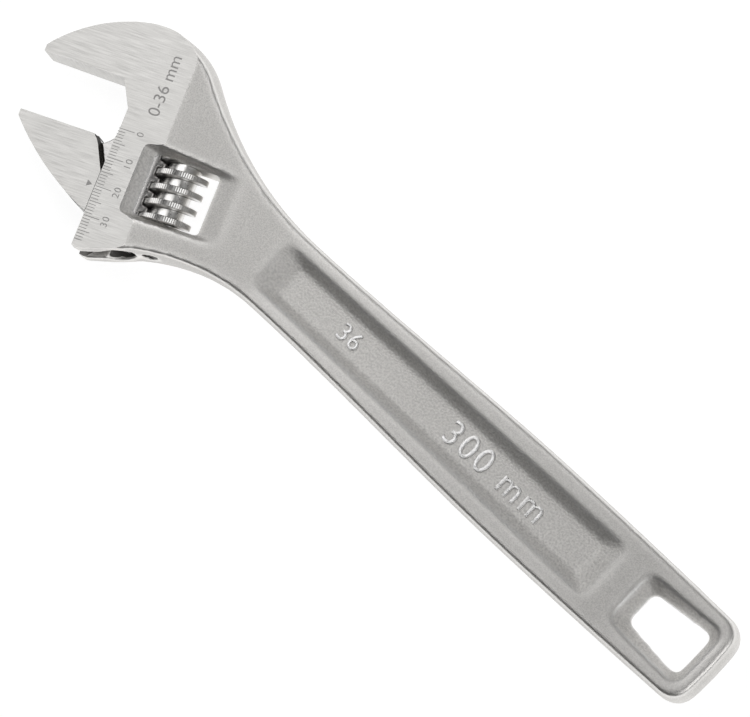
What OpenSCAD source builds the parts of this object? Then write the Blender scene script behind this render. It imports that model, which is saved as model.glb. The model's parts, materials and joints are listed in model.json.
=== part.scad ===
// Adjustable wrench, lying flat, in millimetres.
// Origin: centre of the fixed jaw's gripping face, on the mid plane.
// +X runs along the handle to its hanging hole, +Z is the face with the scale.
// Head coordinates are [u, s]: u runs along the jaw faces from their tips to
// the handle, s runs from the fixed jaw to the sliding jaw.

/* [Overall] */
// Length from the jaw tip to the end of the handle
overall_l = 302.8; // [252:0.1:364]
// Angle between the jaw faces and the handle
head_angle = 22.5; // [18:0.5:25]
// Distance of the handle's centre line below the origin
handle_offset = 6.15; // [4:0.05:8]

/* [Head] */
// Thickness of the head at the end of its ground faces
head_t = 17.5; // [16.5:0.1:22]
// Thickness of the jaws at their tips
tip_t = 12.7; // [10:0.1:15]
// Reach of the jaws from the origin to their tips
tip_u = 14.2; // [11:0.1:18]
// Depth of the throat, from the origin to the wall that the jaw slides on
wall_u = 18.6; // [17:0.1:21]
// End of the ground faces, from the origin
ground_u = 35; // [33:0.5:40]
// Radius of the fixed jaw's back
back_r = 50.3; // [46:0.1:58]
// Radius of the shoulder between the fixed jaw and the neck
shoulder_r = 28; // [25:0.5:32]
// Distance from the fixed jaw's face to the end of the sliding wall
wall_end_s = 57.6; // [54:0.1:66]
// Slope of the face at the end of the sliding wall
end_slope = 18.4; // [12:0.1:22]
// Radius of the neck on the sliding jaw's side
lower_neck_r = 66; // [56:1:76]

/* [Sliding jaw] */
// Distance between the jaw faces as shown
rest_opening = 20; // [2:0.5:34]
// Diameter of the round stem
stem_d = 11; // [10:0.1:13.2]
// Distance of the stem's axis from the origin
stem_u = 31.8; // [31:0.1:33]
// Length of the stem and its web
stem_l = 35; // [32:0.5:37]
// Thickness of the web between the stem and the jaw
web_t = 7; // [5.5:0.1:7.4]
// Radius of the sliding jaw's back
jaw_back_r = 97; // [85:1:120]
// Height of the sliding jaw where it meets the wall
jaw_root_h = 24.5; // [22:0.1:26]
// Gap between sliding surfaces
slide_gap = 0.15; // [0.1:0.05:0.3]

/* [Worm] */
// Diameter over the worm's ridges
worm_d = 17.2; // [16:0.1:17.4]
// Diameter of the worm's core
core_d = 10.8; // [10.2:0.1:11.4]
// Pitch of the worm and of the rack
pitch = 5.1; // [4.6:0.02:6.12]
// Distance of the worm's axis from the stem's axis
worm_offset = 10; // [9.8:0.1:10.6]
// Length of the window
window_l = 20.5; // [19:0.1:22]
// Start of the window, from the fixed jaw's face
window_s = 19.4; // [17:0.1:21]
// Width of a ridge at its crest
ridge_w = 1.9; // [1.5:0.1:2.2]
// End play of the worm at each end
end_play = 0.15; // [0.1:0.05:0.3]
// Diameter of the worm's pin
pin_d = 4.4; // [4:0.01:5.3]
// Diameter of the pin's threaded end
pin_head_d = 5.4; // [5:0.1:6.4]
// Diameter of the spring's wire
wire_d = 0.7; // [0.5:0.05:0.8]

/* [Handle] */
// Thickness of the handle
handle_t = 10.6; // [10:0.1:13]
// Width of the handle at its waist
waist_w = 28.5; // [26:0.1:31]
// Width of the handle at its widest
widest_w = 34.4; // [32:0.1:38]
// Distance from the origin to the waist
waist_x = 95.5; // [93:0.5:104]
// Distance from the handle's end to its widest place
widest_back = 76; // [50:1:85]
// Depth of the recess in each face
recess_depth = 3.1; // [2:0.1:3.6]
// Distance from the origin to the start of the recess
recess_x = 89; // [88:0.5:95]
// Distance from the recess's end to the handle's end
recess_back = 46.8; // [45:0.1:60]
// Length of the hanging hole at mid thickness
hole_l = 22.8; // [16:0.1:25]
// Width of the rim past the hanging hole
hole_back = 9.3; // [9:0.1:12]

/* [Hidden] */
$fn = 64;

ground_steel = [0.74, 0.73, 0.71];
plated_steel = [0.82, 0.82, 0.80];
dark_steel = [0.32, 0.31, 0.30];

through = 200;
half_head = head_t / 2;
half_tip = tip_t / 2;
half_handle = handle_t / 2;
back_centre = [24, 30];
back_start = 180 + acos((tip_u + back_centre[0]) / back_r);
back_end = 260;
back_tip = back_centre + back_r * [cos(back_start), sin(back_start)];
end_x = overall_l + head(back_tip[0], back_tip[1])[0];
widest_x = end_x - widest_back;
edge_end_x = end_x - 16;
end_taper = 0.8;
end_corner_r = 7.5;
end_crown = 1.2;
neck_u = 60;
throat_s = 9;
throat_depth = 0.4;
root_u = wall_u - 4.7;
heel_u = wall_u - 7.9;
jaw_back_u = wall_u - slide_gap;
jaw_tip_h = 2.2;
pocket_u = heel_u + 3.7;
channel_start_s = -6;
stem_start_s = rest_opening - 4.5;
worm_u = stem_u + worm_offset;
worm_l = window_l - 2 * end_play;
window_u0 = stem_u + 1.6;
window_u1 = worm_u + worm_d / 2 + 4.6;
window_end_s = window_s + window_l;
dish_z = 4.5;
// Where a ridge crosses the upper face, and where the rack's grooves lie
crossing_s = window_s + 4.1;
rack_s = crossing_s + pitch / 4;
core_gap = 0.2;
ridge_gap = 0.3;
ridge_root_w = ridge_w + 0.7;
lead_angle = atan(pitch / (PI * worm_d));
pin_start_s = 13;
pin_end_s = 49.8;
pin_gap = 0.1;
counterbore_l = 7;
coil_d = pin_d + wire_d + 0.6;
counterbore_d = coil_d + wire_d + 0.6;
spring_turns = 4.5;

// A point of the head, [u, s], in the wrench's own X and Y
function head(u, s) = [u * cos(head_angle) + s * sin(head_angle),
                       u * sin(head_angle) - s * cos(head_angle)];
function heads(points) = [for (p = points) head(p[0], p[1])];
// Head coordinates as drawn inside in_head(), where Y is -s
function flip(points) = [for (p = points) [p[0], -p[1]]];
function reverse(list) = [for (i = [len(list) - 1 : -1 : 0]) list[i]];
function unit(v) = v / norm(v);
function shortest(turn) = turn > 180 ? turn - 360 : turn < -180 ? turn + 360 : turn;
function smooth(t) = t * t * (3 - 2 * t);
function arc(centre, r, from, to, n) =
    [for (i = [0 : n]) let (a = from + (to - from) * i / n) centre + r * [cos(a), sin(a)]];
// The arc of radius r that rounds the corner b between a and c
function fillet(a, b, c, r, n = 5) =
    let (p = unit(a - b), q = unit(c - b), half = acos(p * q) / 2,
         centre = b + unit(p + q) * r / sin(half),
         first = b + p * r / tan(half) - centre,
         last = b + q * r / tan(half) - centre,
         from = atan2(first[1], first[0]),
         sweep = shortest(atan2(last[1], last[0]) - from))
    arc(centre, r, from, from + sweep, n);
// A closed outline with every corner rounded by r
function rounded(points, r, n = 5) =
    let (k = len(points))
    [for (i = [0 : k - 1])
        each fillet(points[(i + k - 1) % k], points[i], points[(i + 1) % k], r, n)];
// An arc of radius r from a to b, with its centre on the right of the way
function bow(a, b, r, n) =
    let (half = norm(b - a) / 2, d = unit(b - a),
         centre = (a + b) / 2 + [d[1], -d[0]] * sqrt(r * r - half * half),
         from = atan2(a[1] - centre[1], a[0] - centre[0]),
         sweep = shortest(atan2(b[1] - centre[1], b[0] - centre[0]) - from))
    arc(centre, r, from, from + sweep, n);
// Four corners, half0 wide at x0 and half1 wide at x1, about the line y = middle
function trapezium(x0, x1, half0, half1, middle) =
    [[x0, middle - half0], [x1, middle - half1], [x1, middle + half1], [x0, middle + half0]];
function box_outline(u0, u1, s0, s1) = [[u0, s0], [u1, s0], [u1, s1], [u0, s1]];

// Half width of the handle at x
function half_width(x) =
    x < widest_x
        ? waist_w / 2 + (widest_w - waist_w) / 2 * smooth((x - waist_x) / (widest_x - waist_x))
        : widest_w / 2 - end_taper * pow((x - widest_x) / widest_back, 2);
// Half thickness of the ground faces at distance u
function half_ground(u) =
    half_tip + (half_head - half_tip) * (u + tip_u) / (ground_u + tip_u);

// Fixed jaw's back, shoulder and upper neck, each tangent to the next
shoulder_centre = back_centre + (back_r - shoulder_r) * [cos(back_end), sin(back_end)];
shoulder_xy = head(shoulder_centre[0], shoulder_centre[1]);
waist_top = [waist_x, waist_w / 2 - handle_offset];
to_waist = waist_top - shoulder_xy;
upper_neck_r = (to_waist * to_waist - shoulder_r * shoulder_r) / (2 * (shoulder_r - to_waist[1]));
neck_centre = waist_top + [0, upper_neck_r];
neck_a = atan2(neck_centre[1] - shoulder_xy[1], neck_centre[0] - shoulder_xy[0]);
// Lower neck, tangent to the handle and to the face at the wall's end
end_corner = head(wall_u, wall_end_s);
end_dir = head_angle + end_slope;
waist_low = -waist_w / 2 - handle_offset;
lower_neck_x = end_corner[0] + (lower_neck_r
    + (waist_low - lower_neck_r - end_corner[1]) * cos(end_dir)) / sin(end_dir);

function handle_edge(side) =
    [for (i = [1 : 24]) let (x = waist_x + (edge_end_x - waist_x) * i / 24)
        [x, side * half_width(x) - handle_offset]];
function handle_end(side) =
    let (a = [edge_end_x, side * half_width(edge_end_x) - handle_offset],
         b = [end_x - end_crown, side * half_width(end_x) - handle_offset],
         c = [end_x - end_crown / 4, side * half_width(end_x) / 2 - handle_offset])
    concat(fillet(a, b, c, end_corner_r, 8), [c], [[end_x, -handle_offset]]);
// The throat, from the end face along the sliding wall to the fixed jaw's face
function throat() =
    let (end_face = [wall_u + cos(end_slope) * 20, wall_end_s - sin(end_slope) * 20],
         deep = wall_u + throat_depth, elbow = [deep, throat_s], root = [root_u, 0])
    concat(
        fillet(end_face, [wall_u, wall_end_s], [wall_u, 0], 2, 4),
        [[wall_u, throat_s + 10.5]],
        [[deep, throat_s + 8.5]],
        fillet([deep, throat_s + 8], elbow, root, 4, 5),
        fillet(elbow, root, [0, 0], 2, 5),
        [[-tip_u, 0]]);
function body_outline() = concat(
    heads(arc(back_centre, back_r, back_start, back_end, 18)),
    arc(shoulder_xy, shoulder_r, head_angle - back_end + 360, neck_a, 18),
    arc(neck_centre, upper_neck_r, 180 + neck_a, 270, 24),
    handle_edge(1),
    handle_end(1),
    reverse(handle_end(-1)),
    reverse(handle_edge(-1)),
    arc([lower_neck_x, waist_low - lower_neck_r], lower_neck_r, 90, 90 + end_dir, 24),
    heads(throat()));
// The sliding jaw in front of the wall, with its heel set out by flare
function jaw_outline(flare) =
    let (face = rest_opening)
    concat(
        [[-tip_u, face - 2]],
        [[heel_u + flare / 2, face - 2]],
        [[heel_u + flare / 2, face]],
        [[heel_u + 1.8 + flare * 0.6, face + 1.1]],
        [[heel_u + 3.2 + flare * 0.5, face + 2.9]],
        [[heel_u + 4.3 + flare * 0.5, face + 5]],
        [[jaw_back_u, face + 11.4 - flare]],
        reverse(bow([-tip_u, face + jaw_tip_h], [jaw_back_u, face + jaw_root_h], jaw_back_r, 14)));
// The thin web behind the wall, with the concave horn up to the throat
function web_outline() =
    let (face = rest_opening, stem_end = stem_start_s + stem_l)
    concat(
        [[heel_u + 2, face + 2.2]],
        [[heel_u + 4.2, face + 0.9]],
        bow([heel_u + 4.4, face + 0.7], [wall_u - 0.2, stem_start_s + 0.4], 9, 5),
        [[stem_u, stem_start_s]],
        [[stem_u, stem_end]],
        [[wall_u + 0.4, stem_end]],
        [[wall_u - 0.4, face + 15]],
        [[heel_u + 2, face + 15]]);

// Turns children from head coordinates, drawn as [u, -s, z], to the wrench's
module in_head() { rotate([0, 0, head_angle]) children(); }
// Lays children's Z axis along s, at distance u and starting at s
module along_s(u, s) { translate([u, -s, 0]) rotate([90, 0, 0]) children(); }
// Makes the same cut or shape for both faces of the wrench
module both_faces() {
    children();
    mirror([0, 0, 1]) children();
}
// A solid between two outlines with the same number of points
module taper(low, high, z0, z1) {
    n = len(low);
    polyhedron(
        points = concat([for (p = low) [p[0], p[1], z0]], [for (p = high) [p[0], p[1], z1]]),
        faces = concat(
            [[for (i = [0 : n - 1]) i]],
            [[for (i = [n - 1 : -1 : 0]) n + i]],
            [for (i = [0 : n - 1]) [i, n + i, (i + 1) % n]],
            [for (i = [0 : n - 1]) [(i + 1) % n, n + i, n + (i + 1) % n]]));
}
// The thickness of head, neck and handle, as a profile over u
module slab() {
    upper = [[-30, half_ground(-30)], [ground_u, half_head], [neck_u, half_handle + 0.8],
             [neck_u + 16, half_handle], [2 * through, half_handle]];
    in_head() rotate([90, 0, 0]) linear_extrude(2 * through, center = true)
        polygon(concat(upper, reverse(flip(upper))));
}

module channel() {
    in_head() {
        along_s(stem_u, channel_start_s) cylinder(d = stem_d + 2 * slide_gap, h = through);
        translate([pocket_u, -through, -web_t / 2 - slide_gap])
            cube([stem_u - pocket_u, through - channel_start_s, web_t + 2 * slide_gap]);
    }
}
module window() {
    opening = box_outline(window_u0, window_u1, window_s, window_end_s);
    dish = box_outline(window_u0 + 1.6, window_u1 + 0.2, window_s - 0.2, window_end_s + 0.2);
    rim = box_outline(window_u0 - 6.6, window_u1 + 24, window_s - 2.7, window_end_s + 2);
    in_head() {
        linear_extrude(through, center = true) polygon(rounded(flip(opening), 1.4));
        both_faces() taper(rounded(reverse(flip(dish)), 1.4), rounded(reverse(flip(rim)), 2.4),
                           dish_z, dish_z + 4.7);
    }
}
module pin_bores() {
    in_head() {
        along_s(worm_u, pin_start_s) cylinder(d = pin_d, h = window_s - pin_start_s + 1);
        along_s(worm_u, window_end_s - 1) cylinder(d = pin_head_d, h = 20);
    }
}
module handle_cuts() {
    recess_end = end_x - recess_back;
    recess_in = [waist_w / 2 - 8.8, widest_w / 2 - 10.7];
    recess_out = [waist_w / 2 - 5.3, widest_w / 2 - 6.2];
    hole_x1 = end_x - hole_back;
    hole_x0 = hole_x1 - hole_l;
    middle = -handle_offset;
    both_faces() {
        taper(rounded(trapezium(recess_x + 9, recess_end - 8.5, recess_in[0], recess_in[1], middle), 1),
              rounded(trapezium(recess_x, recess_end, recess_out[0], recess_out[1], middle), 3),
              half_handle - recess_depth, half_handle + 0.01);
        taper(rounded(trapezium(hole_x0, hole_x1, 5.6, 8, middle), 2),
              rounded(trapezium(hole_x0 - 5, hole_x1 + 4.4, 10.4, 11.5, middle), 3.6),
              -0.01, half_handle + 0.01);
    }
}
module wrench_body() {
    color(ground_steel) difference() {
        intersection() {
            linear_extrude(through, center = true) polygon(body_outline());
            slab();
        }
        channel();
        window();
        pin_bores();
        handle_cuts();
    }
}

// Grooves of the rack, each cut by a disc that leans as the worm's ridges do
module rack_grooves() {
    first = ceil((stem_start_s - rack_s) / pitch - 0.5);
    last = floor((stem_start_s + stem_l - rack_s) / pitch + 0.5);
    for (k = [first : last])
        translate([worm_u, -(rack_s + k * pitch), 0]) rotate([90 - lead_angle, 0, 0])
            cylinder(d = worm_d + 2 * ridge_gap, h = ridge_root_w + ridge_gap, center = true);
}
module sliding_jaw() {
    rack_flat_u = worm_u - core_d / 2 - core_gap;
    flared = reverse(flip(jaw_outline(2)));
    straight = reverse(flip(jaw_outline(0)));
    color(ground_steel) difference() {
        union() {
            intersection() {
                in_head() {
                    linear_extrude(web_t, center = true) polygon(flared);
                    both_faces() taper(flared, straight, web_t / 2 - 0.01, half_head);
                }
                slab();
            }
            in_head() {
                linear_extrude(web_t, center = true) polygon(flip(web_outline()));
                along_s(stem_u, stem_start_s) cylinder(d = stem_d, h = stem_l);
            }
        }
        in_head() {
            translate([-through, -rest_opening, -through / 2])
                cube([through + heel_u + 1.5, 10, through]);
            translate([rack_flat_u, -through, -through / 2]) cube([20, 2 * through, through]);
            rack_grooves();
        }
    }
}

// One continuous right-hand ridge along Z, rooted in the core
module ridge(turns) {
    steps = 40;
    rings = turns * steps;
    corners = [[core_d / 2 - 1, ridge_root_w / 2], [worm_d / 2, ridge_w / 2],
               [worm_d / 2, -ridge_w / 2], [core_d / 2 - 1, -ridge_root_w / 2]];
    points = [for (i = [0 : rings]) let (a = 360 * i / steps) for (c = corners)
        [c[0] * cos(a), c[0] * sin(a), c[1] + pitch * i / steps]];
    sides = [for (i = [0 : rings - 1]) for (j = [0 : 3]) let (k = (j + 1) % 4)
        each [[4 * i + j, 4 * i + 4 + j, 4 * i + k], [4 * i + k, 4 * i + 4 + j, 4 * i + 4 + k]]];
    polyhedron(points, concat([[0, 1, 2, 3]], sides, [[for (j = [3 : -1 : 0]) 4 * rings + j]]));
}
module worm_screw() {
    turns = ceil(worm_l / pitch) + 3;
    // A ridge starts at angle 0, and passes the upper face a quarter turn on
    start = crossing_s - pitch / 4 - 2 * pitch - window_s - end_play;
    color(plated_steel) in_head() along_s(worm_u, window_s + end_play) difference() {
        intersection() {
            union() {
                cylinder(d = core_d, h = worm_l);
                translate([0, 0, start]) ridge(turns);
            }
            cylinder(d = worm_d + 2, h = worm_l);
        }
        translate([0, 0, -1]) cylinder(d = pin_d + 2 * pin_gap, h = worm_l + 2);
        translate([0, 0, -1]) cylinder(d = counterbore_d, h = counterbore_l + 1);
    }
}
module worm_pin() {
    slot_w = 0.9;
    color(dark_steel) in_head() difference() {
        union() {
            along_s(worm_u, pin_start_s) cylinder(d = pin_d, h = pin_end_s - pin_start_s);
            along_s(worm_u, window_end_s) cylinder(d = pin_head_d, h = pin_end_s - window_end_s);
        }
        translate([worm_u - pin_head_d, -pin_end_s - 1, -slot_w / 2])
            cube([2 * pin_head_d, 2, slot_w]);
    }
}
module worm_spring() {
    steps = 16;
    sides = 8;
    length = counterbore_l + end_play - 0.1;
    rings = spring_turns * steps;
    rise = (length - wire_d) / rings;
    points = [for (i = [0 : rings]) let (a = 360 * i / steps) for (j = [0 : sides - 1])
        let (b = 360 * j / sides, r = coil_d / 2 + wire_d / 2 * cos(b))
        [r * cos(a), r * sin(a), wire_d / 2 + rise * i + wire_d / 2 * sin(b)]];
    walls = [for (i = [0 : rings - 1]) for (j = [0 : sides - 1]) let (k = (j + 1) % sides)
        each [[sides * i + j, sides * i + k, sides * i + sides + j],
              [sides * i + k, sides * i + sides + k, sides * i + sides + j]]];
    color(dark_steel) in_head() along_s(worm_u, window_s)
        polyhedron(points, concat([[for (j = [sides - 1 : -1 : 0]) j]], walls,
                                  [[for (j = [0 : sides - 1]) sides * rings + j]]));
}

wrench_body();
sliding_jaw();
worm_screw();
worm_pin();
worm_spring();
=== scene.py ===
import json
import math

import bmesh
import bpy
from mathutils import Matrix, Vector
from mathutils.bvhtree import BVHTree
import numpy as np


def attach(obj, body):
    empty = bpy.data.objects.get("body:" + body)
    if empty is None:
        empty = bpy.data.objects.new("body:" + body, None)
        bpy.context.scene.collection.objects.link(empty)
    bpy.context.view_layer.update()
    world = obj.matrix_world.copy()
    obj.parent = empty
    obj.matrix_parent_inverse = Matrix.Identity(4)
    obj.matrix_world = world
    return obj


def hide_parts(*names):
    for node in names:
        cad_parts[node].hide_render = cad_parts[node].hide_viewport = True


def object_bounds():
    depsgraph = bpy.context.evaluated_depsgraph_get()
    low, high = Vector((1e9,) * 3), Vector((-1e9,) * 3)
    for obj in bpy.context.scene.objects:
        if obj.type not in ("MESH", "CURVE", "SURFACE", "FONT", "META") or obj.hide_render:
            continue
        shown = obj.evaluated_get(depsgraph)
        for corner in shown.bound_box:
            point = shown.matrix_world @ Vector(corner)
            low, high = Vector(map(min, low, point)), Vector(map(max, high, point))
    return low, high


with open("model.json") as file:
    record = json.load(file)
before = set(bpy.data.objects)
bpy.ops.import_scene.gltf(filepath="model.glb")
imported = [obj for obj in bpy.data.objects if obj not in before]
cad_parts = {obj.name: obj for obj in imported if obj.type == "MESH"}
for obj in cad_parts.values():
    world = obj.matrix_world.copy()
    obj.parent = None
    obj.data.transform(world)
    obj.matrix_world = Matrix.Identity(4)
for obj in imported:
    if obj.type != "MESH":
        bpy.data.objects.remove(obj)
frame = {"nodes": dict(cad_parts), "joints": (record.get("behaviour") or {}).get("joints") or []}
cad_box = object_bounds()

# ---------------------------------------------------------------- studio
# The wrench lies on a pale floor under plain soft light, seen from almost
# straight above and turned so that its handle runs down to the right.
mm = 0.001
up = Vector((0, 0, 1))
scene = bpy.context.scene
scene.view_settings.view_transform = "Standard"

lean = math.radians(19.0)
lean_direction = math.radians(-7.76)
roll = math.radians(51.0)
mm_per_width = 236.6
eye_distance = 10.0
centre_along = 127.48 * mm
centre_across = -12.66 * mm

level = Vector((math.cos(lean_direction), math.sin(lean_direction), 0))
across = Vector((math.sin(lean_direction), -math.cos(lean_direction), 0))
along = level * math.cos(lean) - up * math.sin(lean)
to_eye = level * math.sin(lean) + up * math.cos(lean)
camera_right = along * math.cos(roll) - across * math.sin(roll)
camera_up = -(along * math.sin(roll) + across * math.cos(roll))
eye = along * centre_along + across * centre_across + to_eye * eye_distance

camera_data = bpy.data.cameras.new("camera")
camera_data.sensor_width = 36
camera_data.lens = 36 * eye_distance / (mm_per_width * mm)
camera_data.clip_end = 2 * eye_distance
camera = bpy.data.objects.new("camera", camera_data)
turn = Matrix((camera_right, camera_up, to_eye)).transposed().to_4x4()
camera.matrix_world = Matrix.Translation(eye) @ turn
scene.collection.objects.link(camera)
scene.camera = camera


def area_light(name, place, target, size, power):
    data = bpy.data.lights.new(name, "AREA")
    data.shape = "RECTANGLE"
    data.size, data.size_y = size
    data.energy = power
    light = bpy.data.objects.new(name, data)
    light.location = place
    light.visible_camera = False
    aim = Vector(target) - Vector(place)
    light.rotation_euler = aim.to_track_quat("-Z", "Y").to_euler()
    scene.collection.objects.link(light)


world = bpy.data.worlds.new("studio")
scene.world = world
world.use_nodes = True
sky = world.node_tree
ray = sky.nodes.new("ShaderNodeTexCoord").outputs["Generated"]
toward = sky.nodes.new("ShaderNodeVectorMath")
toward.operation = "DOT_PRODUCT"
toward.inputs[1].default_value = Vector((0.1, 0.95, 0.25)).normalized()
sky.links.new(ray, toward.inputs[0])
fade = sky.nodes.new("ShaderNodeMapRange")
fade.interpolation_type = "SMOOTHSTEP"
sky.links.new(toward.outputs["Value"], fade.inputs["Value"])
for name, number in (("From Min", -0.7), ("From Max", 0.8), ("To Min", 0.62), ("To Max", 1.2)):
    fade.inputs[name].default_value = number
sky.links.new(fade.outputs[0], sky.nodes["Background"].inputs["Strength"])
area_light("softbox", (-0.22, 0.1, 0.5), (-0.1, 0, 0), (0.5, 0.8), 1.9)
area_light("back_strip", (0.3, 1.0, 0.3), (0.15, 0, 0), (1.2, 0.3), 1.3)
area_light("end_panel", (0.95, 0, 0.7), (0.1, 0, 0), (0.7, 0.7), 2.6)

floor_mesh = bmesh.new()
bmesh.ops.create_grid(floor_mesh, x_segments=1, y_segments=1, size=6)
bmesh.ops.translate(floor_mesh, vec=up * cad_box[0][2], verts=floor_mesh.verts)
floor_data = bpy.data.meshes.new("floor")
floor_mesh.to_mesh(floor_data)
floor = bpy.data.objects.new("floor", floor_data)
scene.collection.objects.link(floor)
floor_material = bpy.data.materials.new("light_table")
floor_material.use_nodes = True
table = floor_material.node_tree.nodes["Principled BSDF"]
table.inputs["Base Color"].default_value = (0.25, 0.25, 0.25, 1)
table.inputs["Roughness"].default_value = 0.9
table.inputs["Emission Color"].default_value = (1, 1, 1, 1)
table.inputs["Emission Strength"].default_value = 0.9
floor_data.materials.append(floor_material)

# ---------------------------------------------------------------- wrench body
# The body is one steel drop forging: drafted sides, soft edges, a sunk panel
# in each face of the handle. The head's faces are ground flat, the throat and
# the keyhole channel are milled, and the rest is left with a blasted skin.
slide = next(j for j in frame["joints"] if j["name"] == "jaw_slide")
opening = Vector(slide["axis"])
reach = Vector((-opening.y, opening.x, 0))
head_to_row = Matrix((reach, opening, up)).transposed().to_4x4()
row_to_head = head_to_row.inverted()

# Head coordinates: u runs from the jaw tips to the handle, s the way the
# sliding jaw opens, z up. The names below end in their coordinate.
tip_u, wall_u, ground_u = 14.2, 18.6, 35.0
half_tip, half_head = 6.35, 8.75
throat_u, throat_s, root_u = 19.0, 9.0, 13.9
web_t, stem_d, stem_u = 7.0, 11.0, 31.8
slide_gap = 0.15
worm_u = 41.8
window_u0, window_u1 = 33.4, 55.0
window_s, window_end_s, window_corner_r = 19.4, 39.9, 1.4
pin_d, pin_head_d = 4.4, 5.4
body_finish = {"blasted": 0, "ground": 1, "milled": 2, "channel": 3, "recess": 4}


def prism(corners, low, high, axis="z", finish=0):
    """A straight solid in head coordinates, u, s, z in millimetres. Its
    corners are [u, s] and it runs along z, or [u, z] and it runs along s."""
    bm = bmesh.new()
    places = [(a, b, low) if axis == "z" else (a, low, b) for a, b in corners]
    face = bm.faces.new([bm.verts.new(place) for place in places])
    walls = bmesh.ops.extrude_face_region(bm, geom=[face])["geom"]
    step = (0, 0, high - low) if axis == "z" else (0, high - low, 0)
    bmesh.ops.translate(bm, vec=step, verts=[v for v in walls if isinstance(v, bmesh.types.BMVert)])
    for f in bm.faces:
        f.material_index = finish
    return bm


def rod(radius, u, s0, s1, segments=64, finish=0):
    """A round bar along s in head coordinates, in millimetres."""
    bm = bmesh.new()
    bmesh.ops.create_cone(bm, cap_ends=True, segments=segments, radius1=radius,
                          radius2=radius, depth=s1 - s0)
    upright = Matrix.Rotation(math.pi / 2, 3, "X")
    bmesh.ops.rotate(bm, cent=(0, 0, 0), matrix=upright, verts=bm.verts)
    bmesh.ops.translate(bm, vec=(u, (s0 + s1) / 2, 0), verts=bm.verts)
    for f in bm.faces:
        f.material_index = finish
    return bm


def in_row(bm):
    """Head coordinates in millimetres become the wrench's own, in metres."""
    bmesh.ops.scale(bm, vec=(mm, mm, mm), verts=bm.verts)
    bmesh.ops.transform(bm, matrix=head_to_row, verts=bm.verts)
    bmesh.ops.recalc_face_normals(bm, faces=bm.faces)
    return bm


def as_object(bm, name, materials=()):
    mesh = bpy.data.meshes.new(name)
    bm.to_mesh(mesh)
    bm.free()
    for material in materials:
        mesh.materials.append(material)
    made = bpy.data.objects.new(name, mesh)
    scene.collection.objects.link(made)
    return made


def bake_modifiers(piece):
    """The piece's mesh becomes what its modifiers make of it."""
    depsgraph = bpy.context.evaluated_depsgraph_get()
    mesh = bpy.data.meshes.new_from_object(piece.evaluated_get(depsgraph))
    piece.modifiers.clear()
    piece.data = mesh


def shape_with(piece, tool, operation="DIFFERENCE"):
    """Cuts a bmesh tool from the piece, or joins it on."""
    tool = as_object(in_row(tool), "tool", piece.data.materials)
    modifier = piece.modifiers.new("tool", "BOOLEAN")
    modifier.solver = "MANIFOLD"
    modifier.operation = operation
    modifier.material_mode = "INDEX"
    modifier.object = tool
    bake_modifiers(piece)
    bpy.data.objects.remove(tool)


def half_ground(u):
    return half_tip + (half_head - half_tip) * (u + tip_u) / (ground_u + tip_u)


def grind_faces(piece, finish):
    """Takes both faces of a head part down to the ground planes."""
    for side in (1, -1):
        corners = [(-40, side * half_ground(-40)), (70, side * half_ground(70)),
                   (70, side * 30), (-40, side * 30)]
        shape_with(piece, prism(corners, -60, 90, "s", finish))


def voxel_skin(piece, size):
    modifier = piece.modifiers.new("skin", "REMESH")
    modifier.mode = "VOXEL"
    modifier.voxel_size = size
    bake_modifiers(piece)


def soften(piece, steps, kept_hard=None):
    """Rounds the piece's edges, a little more with each step. kept_hard says
    whether a place is left alone at a step."""
    skin = bmesh.new()
    skin.from_mesh(piece.data)
    for step in range(steps):
        soft = [v for v in skin.verts if not (kept_hard and kept_hard(v.co, step))]
        bmesh.ops.smooth_vert(skin, verts=soft, factor=0.5, use_axis_x=True, use_axis_y=True,
                              use_axis_z=True)
    skin.to_mesh(piece.data)
    skin.free()


def hard_head(place, step):
    """The head is left alone after five steps, and the neck a little later."""
    edge = 0.045 + 0.0018 * (step - 5)
    return step >= 5 and place.x + 0.6 * min(place.y, 0) <= edge


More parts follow.
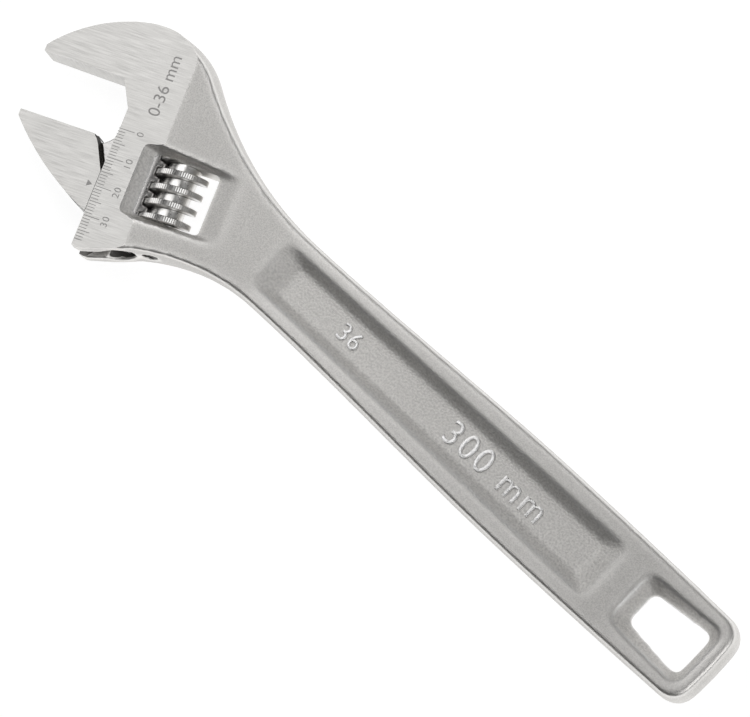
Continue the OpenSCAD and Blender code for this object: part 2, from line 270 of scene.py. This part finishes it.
class Steel:
    """A steel finish: a metal shader with its colour, roughness and relief
    nodes added to it one after another."""

    def __init__(self, name, colour, roughness):
        self.material = bpy.data.materials.new(name)
        self.material.use_nodes = True
        self.tree = self.material.node_tree
        self.shader = self.tree.nodes["Principled BSDF"]
        self.shader.inputs["Metallic"].default_value = 1
        self.place = self.tree.nodes.new("ShaderNodeTexCoord").outputs["Object"]
        plain = self.tree.nodes.new("ShaderNodeRGB")
        plain.outputs[0].default_value = (*colour, 1)
        self.colour = plain.outputs[0]
        self.roughness = roughness
        self.relief = None

    def noise(self, size, detail=2.0, stretch=(1, 1, 1), turn=0.0):
        """Noise from 0 to 1 whose spots are size across, times stretch."""
        mapping = self.tree.nodes.new("ShaderNodeMapping")
        mapping.vector_type = "TEXTURE"
        mapping.inputs["Rotation"].default_value = (0, 0, turn)
        mapping.inputs["Scale"].default_value = [size * k for k in stretch]
        noise = self.tree.nodes.new("ShaderNodeTexNoise")
        noise.inputs["Scale"].default_value = 1
        noise.inputs["Detail"].default_value = detail
        self.tree.links.new(self.place, mapping.inputs["Vector"])
        self.tree.links.new(mapping.outputs[0], noise.inputs["Vector"])
        return noise.outputs["Fac"]

    def attribute(self, name):
        node = self.tree.nodes.new("ShaderNodeAttribute")
        node.attribute_name = name
        return node.outputs["Fac"]

    def ramp(self, value, low, high, to_low, to_high):
        node = self.tree.nodes.new("ShaderNodeMapRange")
        self.tree.links.new(value, node.inputs["Value"])
        for end, number in (("From Min", low), ("From Max", high), ("To Min", to_low),
                            ("To Max", to_high)):
            node.inputs[end].default_value = number
        return node.outputs[0]

    def tint(self, amount, colour):
        """Mixes another colour in by amount, a socket from 0 to 1."""
        node = self.tree.nodes.new("ShaderNodeMix")
        node.data_type = "RGBA"
        self.tree.links.new(amount, node.inputs["Factor"])
        self.tree.links.new(self.colour, node.inputs["A"])
        node.inputs["B"].default_value = (*colour, 1)
        self.colour = node.outputs["Result"]

    def bump(self, height, depth):
        node = self.tree.nodes.new("ShaderNodeBump")
        node.inputs["Strength"].default_value = 1
        node.inputs["Distance"].default_value = depth
        self.tree.links.new(height, node.inputs["Height"])
        if self.relief:
            self.tree.links.new(self.relief, node.inputs["Normal"])
        self.relief = node.outputs["Normal"]

    def finish(self):
        self.tree.links.new(self.colour, self.shader.inputs["Base Color"])
        if isinstance(self.roughness, float):
            self.shader.inputs["Roughness"].default_value = self.roughness
        else:
            self.tree.links.new(self.roughness, self.shader.inputs["Roughness"])
        if self.relief:
            self.tree.links.new(self.relief, self.shader.inputs["Normal"])
        return self.material


def blasted(name, grain, colour, depth):
    """A forged skin, shot blasted: matt grain, polished where it bulges."""
    steel = Steel(name, colour, 0.6)
    steel.tint(steel.ramp(steel.noise(28 * mm, 3), 0.35, 0.7, 0, 0.35), [c * 0.86 for c in colour])
    steel.tint(steel.ramp(steel.noise(grain, 2), 0.35, 0.68, 0, 0.6), [c * 0.66 for c in colour])
    steel.tint(steel.attribute("wear"), [min(1.15 * c, 0.92) for c in colour])
    steel.bump(steel.noise(grain, 3), depth)
    steel.roughness = steel.ramp(steel.attribute("wear"), 0, 1, 0.62, 0.36)
    return steel.finish()


def brushed(name, colour, turn, roughness=0.36):
    """A ground face, with fine lines left by the wheel along its length."""
    steel = Steel(name, colour, roughness)
    lines = steel.noise(0.3 * mm, 4, (28, 1, 28), turn)
    broad = steel.noise(1.6 * mm, 2, (16, 1, 16), turn)
    steel.tint(steel.ramp(lines, 0.36, 0.66, 0, 0.5), [c * 0.78 for c in colour])
    steel.tint(steel.ramp(broad, 0.4, 0.7, 0, 0.3), [c * 0.92 for c in colour])
    steel.tint(steel.ramp(steel.noise(0.4 * mm, 2), 0.4, 0.7, 0, 0.3), [c * 0.88 for c in colour])
    steel.bump(lines, 0.006 * mm)
    steel.roughness = steel.ramp(lines, 0.3, 0.7, roughness - 0.06, roughness + 0.08)
    return steel.finish()


head_turn = math.atan2(reach.y, reach.x)
blasted_steel = blasted("blasted_steel", 0.42 * mm, (0.8, 0.786, 0.764), 0.08 * mm)
recess_steel = blasted("recess_steel", 0.75 * mm, (0.84, 0.825, 0.802), 0.17 * mm)
ground_steel = brushed("ground_steel", (0.55, 0.542, 0.527), head_turn)
milled_steel = brushed("milled_steel", (0.66, 0.65, 0.63), head_turn + math.pi / 2, 0.4)
# The keyhole channel and the bores are coloured nearly black: painted shade inside the milled
# channel.
channel_painted_shade = blasted("channel_painted_shade", 0.6 * mm, (0.16, 0.155, 0.15), 0.08 * mm)

# The forging starts from the plain body. Level cuts give its walls the edges
# that the draft leans in, and the head's faces get stock for the grinding.
forging = bmesh.new()
forging.from_mesh(frame["nodes"]["wrench_body"].data)
bmesh.ops.remove_doubles(forging, verts=forging.verts, dist=1e-7)
crest_u = ground_u - 5.8
levels = [(up * z * mm, up) for z in (-6, -3, 0, 3, 6)] + [(reach * crest_u * mm, reach)]
for place, normal in levels:
    bmesh.ops.bisect_plane(forging, geom=forging.verts[:] + forging.edges[:] + forging.faces[:],
                           dist=1e-6, plane_co=place, plane_no=normal)
forging.normal_update()
tree = BVHTree.FromBMesh(forging)
draft = math.tan(math.radians(6))
camber = 0.012 / mm
level_wall = 0.1
head_share = 0.75
end_slope = math.radians(18.4)
grinding_stock, stock_slope = 0.9, 0.155
outward = {}
for face in forging.faces:
    centre = face.calc_center_median()
    where = row_to_head @ centre / mm
    milled = where.x < throat_u + 0.6 and -0.5 < where.y < 59
    end_face = where.y > 40 and (row_to_head @ face.normal).angle(
        Vector((math.sin(end_slope), math.cos(end_slope), 0))) < math.radians(3)
    if abs(face.normal.z) > level_wall or milled or end_face:
        continue
    if tree.ray_cast(centre + face.normal * 1e-5, face.normal)[0] is None:
        for v in face.verts:
            outward[v] = outward.get(v, Vector()) + face.normal * face.calc_area()
# Walls lean in towards the two faces. Those of the head's jaw side and lower
# side lean in least.
for v, normal in outward.items():
    normal.z = 0
    normal.normalize()
    near_head = min(max((0.1 - v.co.x) / 0.03, 0), 1)
    jaw_side = min(max((0.1 - normal.x) / 0.3, -normal.y / 0.3, 0), 1) * near_head
    v.co -= normal * (draft * abs(v.co.z) + camber * v.co.z ** 2) * (1 - head_share * jaw_side)
for v in forging.verts:
    where = row_to_head @ v.co / mm
    over = ground_u - where.x
    if over > 0 and abs(where.z) > half_ground(where.x) - 0.02:
        v.co.z += math.copysign(min(grinding_stock, stock_slope * over), v.co.z) * mm

# The throat and the window are filled before the skin is rounded, and then
# cut again, so that the milled edges stay sharp.
body = as_object(forging, "forged_body", [blasted_steel, ground_steel, milled_steel,
                                          channel_painted_shade, recess_steel])
throat_filler = [(-16.5, -1.8), (20.2, -1.8), (20.2, 56), (-16.5, 56)]
shape_with(body, prism(throat_filler, -9.2, 9.2), "UNION")
window_filler = [(30, 18.9), (window_u1 + 0.6, 18.9), (window_u1 + 0.6, 40.4), (30, 40.4)]
shape_with(body, prism(window_filler, -4.5, 4.5), "UNION")
voxel_skin(body, 0.56 * mm)
soften(body, 21, hard_head)
grind_faces(body, body_finish["ground"])
throat_line = [(wall_u, 80), (wall_u, 19.5), (throat_u, 17.5), (throat_u, throat_s), (root_u, 0),
               (-tip_u, 0), (-tip_u, -20), (-60, -20), (-60, 80)]
shape_with(body, prism(throat_line, -15, 15, finish=body_finish["milled"]))
window = prism([(window_u0, window_s), (window_u1, window_s), (window_u1, window_end_s),
                (window_u0, window_end_s)], -20, 20)
corners = [e for e in window.edges if abs(e.verts[0].co.z - e.verts[1].co.z) > 1]
bmesh.ops.bevel(window, geom=corners, offset=window_corner_r, segments=5, profile=0.5,
                affect="EDGES", material=-1)
shape_with(body, window)
web_slot = [(14.4, -6), (stem_u, -6), (stem_u, 80), (14.4, 80)]
shape_with(body, prism(web_slot, -web_t / 2 - slide_gap, web_t / 2 + slide_gap,
                       finish=body_finish["channel"]))
shape_with(body, rod(stem_d / 2 + slide_gap, stem_u, -6, 80, finish=body_finish["channel"]))
shape_with(body, rod(pin_d / 2, worm_u, 13, window_s + 1, finish=body_finish["channel"]))
shape_with(body, rod(pin_head_d / 2, worm_u, window_end_s - 1, 60, finish=body_finish["channel"]))


cut_finishes = (1, 2, 3)


def mark_sharp(piece, angle=32):
    """Smooth shading, broken at hard edges and where one finish meets another."""
    bm = bmesh.new()
    bm.from_mesh(piece.data)
    for f in bm.faces:
        f.smooth = True
    for e in bm.edges:
        cut = any(f.material_index in cut_finishes for f in e.link_faces)
        finishes = {f.material_index for f in e.link_faces}
        e.smooth = not (cut and len(finishes) > 1) and e.calc_face_angle(0) < math.radians(angle)
    bm.to_mesh(piece.data)
    bm.free()


def mark_wear(piece, radius):
    """An attribute that rises to 1 where the surface bulges as tightly as radius."""
    mesh = piece.data
    count = len(mesh.vertices)
    place = np.zeros(count * 3)
    mesh.vertices.foreach_get("co", place)
    place = place.reshape(-1, 3)
    normal = np.zeros(count * 3)
    mesh.vertex_normals.foreach_get("vector", normal)
    normal = normal.reshape(-1, 3)
    ends = np.zeros(len(mesh.edges) * 2, dtype=int)
    mesh.edges.foreach_get("vertices", ends)
    a, b = ends.reshape(-1, 2).T
    step = place[b] - place[a]
    length = np.maximum((step ** 2).sum(1), 1e-10)
    bulge = np.bincount(a, -(normal[a] * step).sum(1) / length, count)
    bulge += np.bincount(b, (normal[b] * step).sum(1) / length, count)
    ways = np.maximum(np.bincount(a, minlength=count) + np.bincount(b, minlength=count), 1)
    wear = np.clip(bulge / ways * radius * 2, 0, 1)
    for _ in range(4):
        around = np.bincount(a, wear[b], count) + np.bincount(b, wear[a], count)
        wear = 0.4 * wear + 0.6 * around / ways
    layer = mesh.attributes.new("wear", "FLOAT", "POINT")
    layer.data.foreach_set("value", wear)


# The panel, the window's ramp and the slopes round the hanging hole keep a
# coarser blast than the rest of the skin.
handle_y, rim_z = -6.15, 4.9
for polygon in body.data.polygons:
    x, y, z = polygon.center / mm
    off_centre = abs(y - handle_y)
    inside = 89.5 < x < 241.5 and off_centre < 9 + 2 * (x - 89) / 152 and abs(z) < rim_z
    hole = 250 < x < 284.5 and off_centre < 11.5 and abs(z) < rim_z
    u, s, z = row_to_head @ polygon.center / mm
    facet = 26 < u < window_u0 and window_s - 3 < s < window_end_s + 3
    if polygon.material_index == body_finish["blasted"] and (inside or hole or facet):
        polygon.material_index = body_finish["recess"]
mark_wear(body, 3 * mm)
mark_sharp(body)
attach(body, "handle")
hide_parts("wrench_body")

# ---------------------------------------------------------------- sliding jaw
# The sliding jaw is a second forging, blackened by its heat treatment. Its two
# faces and its gripping face are ground bright, and a rack is cut in its stem.
rest_opening = 20.0

blackened_steel = blasted("blackened_steel", 0.5 * mm, (0.07, 0.065, 0.06), 0.05 * mm)
rack_steel = brushed("rack_steel", (0.55, 0.54, 0.53), head_turn, 0.3)
jaw_finish = {"blackened": 0, "ground": 1, "rack": 2}
heel_u, heel_edge_u = 10.7, 12.2
jaw_stock = 0.8

jaw_forging = bmesh.new()
jaw_forging.from_mesh(frame["nodes"]["sliding_jaw"].data)
bmesh.ops.remove_doubles(jaw_forging, verts=jaw_forging.verts, dist=1e-7)
for v in jaw_forging.verts:
    where = row_to_head @ v.co / mm
    if where.x < wall_u and abs(where.z) > half_ground(where.x) - 0.05:
        v.co.z += math.copysign(jaw_stock, v.co.z) * mm
    if where.x < heel_edge_u + 0.1 and abs(where.y - rest_opening) < 0.02:
        v.co -= opening * jaw_stock * mm
jaw = as_object(jaw_forging, "forged_jaw", [blackened_steel, ground_steel, rack_steel])
voxel_skin(jaw, 0.3 * mm)
soften(jaw, 3)
grind_faces(jaw, jaw_finish["ground"])
gripping_cut = [(-40, 0), (heel_edge_u, 0), (heel_edge_u, rest_opening), (-40, rest_opening)]
shape_with(jaw, prism(gripping_cut, -20, 20, finish=jaw_finish["ground"]))
# The web and the rack's teeth are rubbed bright where they slide.
for polygon in jaw.data.polygons:
    where = row_to_head @ polygon.center / mm
    facing = row_to_head @ polygon.normal
    web = where.x > heel_u + 2.5 and abs(where.z) < web_t / 2 + 0.1 and where.x < 27
    teeth = where.x > 30.5 and facing.x > -0.3
    if polygon.material_index == jaw_finish["blackened"] and (web or teeth):
        polygon.material_index = jaw_finish["rack"]
mark_wear(jaw, 1.5 * mm)
mark_sharp(jaw)
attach(jaw, "jaw")
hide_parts("sliding_jaw")

# ---------------------------------------------------------------- worm
# The worm is a turned and plated steel screw. One right-hand ridge runs round
# it, rolled with fine straight knurling on its crest for the thumb.
worm_r, core_r, pitch = 8.6, 5.4, 5.1
ridge_w, root_w = 1.6, 2.6
crossing_s = window_s + 4.1
worm_start, worm_end = window_s + 0.15, window_end_s - 0.15
teeth_per_turn = 72
tooth_depth = 0.16
counterbore_r, counterbore_l = 3.5, 7

plated = Steel("plated_steel", (0.86, 0.85, 0.83), 0.3)
plated.tint(plated.ramp(plated.noise(1.5 * mm, 3), 0.4, 0.7, 0, 0.3), (0.76, 0.75, 0.73))
plated.roughness = plated.ramp(plated.noise(0.8 * mm, 3), 0.3, 0.7, 0.26, 0.38)
plated_steel = plated.finish()
ridge = Steel("knurled_steel", (0.86, 0.85, 0.83), 0.3)
# Painted shade between the ridges: the colour darkens from the crest down to the ridge's foot.
ridge.tint(ridge.ramp(ridge.attribute("depth"), 0.25, 0.9, 0, 1), (0.16, 0.155, 0.15))
ridge.tint(ridge.ramp(ridge.attribute("depth"), 0.02, 0.1, 0.28, 0), (0.4, 0.39, 0.38))
ridge_steel = ridge.finish()

thread = bmesh.new()
profile = [(core_r - 0.6, root_w / 2 + 0.2), (core_r + 0.4, root_w / 2 - 0.1),
           (worm_r - 0.4, ridge_w / 2 + 0.22), (worm_r, ridge_w / 2)]
profile += [(r, -w) for r, w in reversed(profile)]
steps_per_turn = 2 * teeth_per_turn
turns = 7
thread_start = crossing_s - pitch / 4 - 2 * pitch
section = thread.faces.new([thread.verts.new((r, thread_start + w, 0)) for r, w in profile])
section.material_index = 1
bmesh.ops.spin(thread, geom=[section], axis=(0, -1, 0), cent=(0, 0, 0),
               dvec=(0, pitch / steps_per_turn, 0), angle=2 * math.pi * turns,
               steps=steps_per_turn * turns, use_duplicate=False)
for f in thread.faces:
    f.material_index = 1
for v in thread.verts:
    tooth_step = round(math.atan2(v.co.z, v.co.x) / (2 * math.pi) * steps_per_turn)
    if math.hypot(v.co.x, v.co.z) > worm_r - 0.01 and tooth_step % 2:
        v.co.x *= 1 - tooth_depth / worm_r
        v.co.z *= 1 - tooth_depth / worm_r
bmesh.ops.translate(thread, vec=(worm_u, 0, 0), verts=thread.verts)
worm = as_object(in_row(thread), "worm_screw_body", [plated_steel, ridge_steel])
shape_with(worm, rod(worm_r + 1, worm_u, worm_start, worm_end), "INTERSECT")
shape_with(worm, rod(core_r, worm_u, worm_start, worm_end, steps_per_turn), "UNION")
shape_with(worm, rod(pin_d / 2 + 0.1, worm_u, worm_start - 1, worm_end + 1))
shape_with(worm, rod(counterbore_r, worm_u, worm_start - 1, worm_start + counterbore_l))
# Painted shade: the ridge's colour darkens from its bright crest down to its foot, by this depth
# below the crest.
depth = worm.data.attributes.new("depth", "FLOAT", "POINT")
for v in worm.data.vertices:
    where = row_to_head @ v.co / mm
    depth.data[v.index].value = (worm_r - math.hypot(where.x - worm_u, where.z)) / (worm_r - core_r)
mark_sharp(worm, 30)
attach(worm, "worm")
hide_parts("worm_screw")

# ---------------------------------------------------------------- worm pin
# The worm turns on a plain steel pin. Its threaded end is screwed into the
# lower bore, where a driver slot shows in the end face of the head.
pin_start_s, pin_end_s = 13.0, 49.8
slot_w, slot_depth = 0.9, 1.2

darkened = Steel("darkened_pin_steel", (0.2, 0.195, 0.19), 0.35)
darkened.tint(darkened.ramp(darkened.noise(0.7 * mm, 3), 0.4, 0.7, 0, 1), (0.11, 0.105, 0.1))
darkened.bump(darkened.noise(0.25 * mm, 2, (1, 8, 1), head_turn), 0.02 * mm)
pin_steel = darkened.finish()


def chamfer_ends(bm, offset):
    rims = [e for e in bm.edges if any(len(f.verts) > 8 for f in e.link_faces)]
    bmesh.ops.bevel(bm, geom=rims, offset=offset, segments=2, profile=0.5, affect="EDGES",
                    material=-1)


shank = rod(pin_d / 2, worm_u, pin_start_s, pin_end_s - 1)
chamfer_ends(shank, 0.4)
pin = as_object(in_row(shank), "slotted_pin", [pin_steel])
pin_head = rod(pin_head_d / 2, worm_u, window_end_s, pin_end_s)
chamfer_ends(pin_head, 0.5)
shape_with(pin, pin_head, "UNION")
driver_slot = [(worm_u - 4, -slot_w / 2), (worm_u + 4, -slot_w / 2), (worm_u + 4, slot_w / 2),
               (worm_u - 4, slot_w / 2)]
shape_with(pin, prism(driver_slot, pin_end_s - slot_depth, pin_end_s + 1, "s"))
mark_sharp(pin)
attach(pin, "handle")
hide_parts("worm_pin")

# ---------------------------------------------------------------- worm spring
# A small coil of spring wire sits round the pin in the worm's counterbore. It
# presses on the worm's end, so that the worm doesn't turn by itself.
wire_d = 0.7
coil_r = (pin_d + wire_d + 0.6) / 2
coil_turns = 4.5
coil_rise = counterbore_l + 0.15 - 0.1 - wire_d

drawn = Steel("spring_wire", (0.5, 0.49, 0.47), 0.25)
drawn.tint(drawn.ramp(drawn.noise(0.6 * mm, 2), 0.4, 0.7, 0, 0.6), (0.36, 0.34, 0.31))
wire_steel = drawn.finish()

coil = bmesh.new()
bmesh.ops.create_circle(coil, cap_ends=True, segments=12, radius=wire_d / 2)
bmesh.ops.translate(coil, vec=(coil_r, 0, 0), verts=coil.verts)
coil_steps = round(28 * coil_turns)
bmesh.ops.spin(coil, geom=coil.faces[:], axis=(0, -1, 0), cent=(0, 0, 0),
               dvec=(0, coil_rise / coil_steps, 0), angle=2 * math.pi * coil_turns,
               steps=coil_steps, use_duplicate=False)
bmesh.ops.translate(coil, vec=(worm_u, window_s + wire_d / 2, 0), verts=coil.verts)
spring = as_object(in_row(coil), "coil_spring", [wire_steel])
mark_sharp(spring, 50)
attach(spring, "handle")
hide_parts("worm_spring")

# ---------------------------------------------------------------- laser marks
# The scale on the front face is burnt on with a laser: a line for each
# millimetre, with numbers for each ten. A pointer on the jaw reads it.
mark_depth = 0.02
scale_zero_s = 15.8
scale_u = 18.75
line_w = 0.24
ten_l, five_l, one_l = 5.5, 4.1, 2.6
numeral_h, numeral_u = 2.3, 26.2
pointer_u, pointer_s, pointer_r = 16.3, 35.7, 1.2

burnt = Steel("laser_mark", (0.27, 0.265, 0.26), 0.5)
burnt.tint(burnt.ramp(burnt.noise(0.5 * mm, 2), 0.4, 0.65, 0, 0.6), (0.36, 0.355, 0.35))
mark_steel = burnt.finish()


def lettering(words, height, thickness, bevel=0.0, spacing=1.0):
    """Letters as tall as height, centred on the origin and read along X."""
    curve = bpy.data.curves.new("letters", "FONT")
    curve.body = words
    curve.space_character = spacing
    text = bpy.data.objects.new("letters", curve)
    scene.collection.objects.link(text)
    bpy.context.view_layer.update()
    grow = height / text.dimensions.y
    curve.size = grow
    curve.extrude = thickness / 2 - bevel
    curve.bevel_depth = bevel
    curve.offset = -bevel * 0.6
    curve.bevel_resolution = 1
    mesh = bpy.data.meshes.new_from_object(
        text.evaluated_get(bpy.context.evaluated_depsgraph_get()))
    bpy.data.objects.remove(text)
    bm = bmesh.new()
    bm.from_mesh(mesh)
    bmesh.ops.remove_doubles(bm, verts=bm.verts, dist=1e-4)
    xs = [v.co.x for v in bm.verts]
    ys = [v.co.y for v in bm.verts]
    middle = Vector((min(xs) + max(xs), min(ys) + max(ys), 0)) / 2
    bmesh.ops.translate(bm, vec=-middle, verts=bm.verts)
    return bm


def on_ground_face(bm, u, s):
    """Lays flat marks on the front ground face, read from the sliding jaw up."""
    for v in bm.verts:
        x, y, z = v.co
        v.co = (u - y, s - x, half_ground(u - y) + z)


def add(target, bm):
    """Joins bm onto target, and empties it."""
    mesh = bpy.data.meshes.new("part")
    bm.to_mesh(mesh)
    bm.free()
    target.from_mesh(mesh)


scale = bmesh.new()
for reading in range(39):
    length = ten_l if reading % 10 == 0 else five_l if reading % 5 == 0 else one_l
    line = bmesh.new()
    bmesh.ops.create_cube(line, size=1)
    bmesh.ops.scale(line, vec=(line_w, length, mark_depth), verts=line.verts)
    on_ground_face(line, scale_u + length / 2, scale_zero_s + reading)
    add(scale, line)
    if reading % 10 == 0:
        numeral = lettering(str(reading), numeral_h, mark_depth, spacing=1.15)
        on_ground_face(numeral, numeral_u, scale_zero_s + reading)
        add(scale, numeral)
size_words = lettering("0-36 mm", 4.0, mark_depth)
on_ground_face(size_words, 27.6, -1.5)
add(scale, size_words)
scale_marks = as_object(in_row(scale), "laser_scale", [mark_steel])
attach(scale_marks, "handle")

pointer = bmesh.new()
bmesh.ops.create_cone(pointer, cap_ends=True, segments=3, radius1=pointer_r, radius2=pointer_r,
                      depth=mark_depth)
half_turn = Matrix.Rotation(math.pi, 3, "Z")
bmesh.ops.rotate(pointer, cent=(0, 0, 0), matrix=half_turn, verts=pointer.verts)
on_ground_face(pointer, pointer_u, pointer_s)
jaw_pointer = as_object(in_row(pointer), "jaw_pointer", [mark_steel])
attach(jaw_pointer, "jaw")

# ---------------------------------------------------------------- raised size marks
# The size stands proud of the sunk panel's floor, as it was forged there.
panel_z = 2.2
letter_rise = 0.55


def on_panel(words, height, x, y, spacing=1.0):
    bm = lettering(words, height, 2 * letter_rise, 0.28, spacing)
    bmesh.ops.translate(bm, vec=(x, y, panel_z), verts=bm.verts)
    bmesh.ops.scale(bm, vec=(mm, mm, mm), verts=bm.verts)
    bmesh.ops.recalc_face_normals(bm, faces=bm.faces)
    return bm


raised = on_panel("36", 5.9, 125.3, -6.1, 1.1)
add(raised, on_panel("300 mm", 8.2, 191, -6.1, 1.15))
raised_marks = as_object(raised, "raised_size_marks", [recess_steel])
mark_wear(raised_marks, 1.2 * mm)
mark_sharp(raised_marks)
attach(raised_marks, "handle")
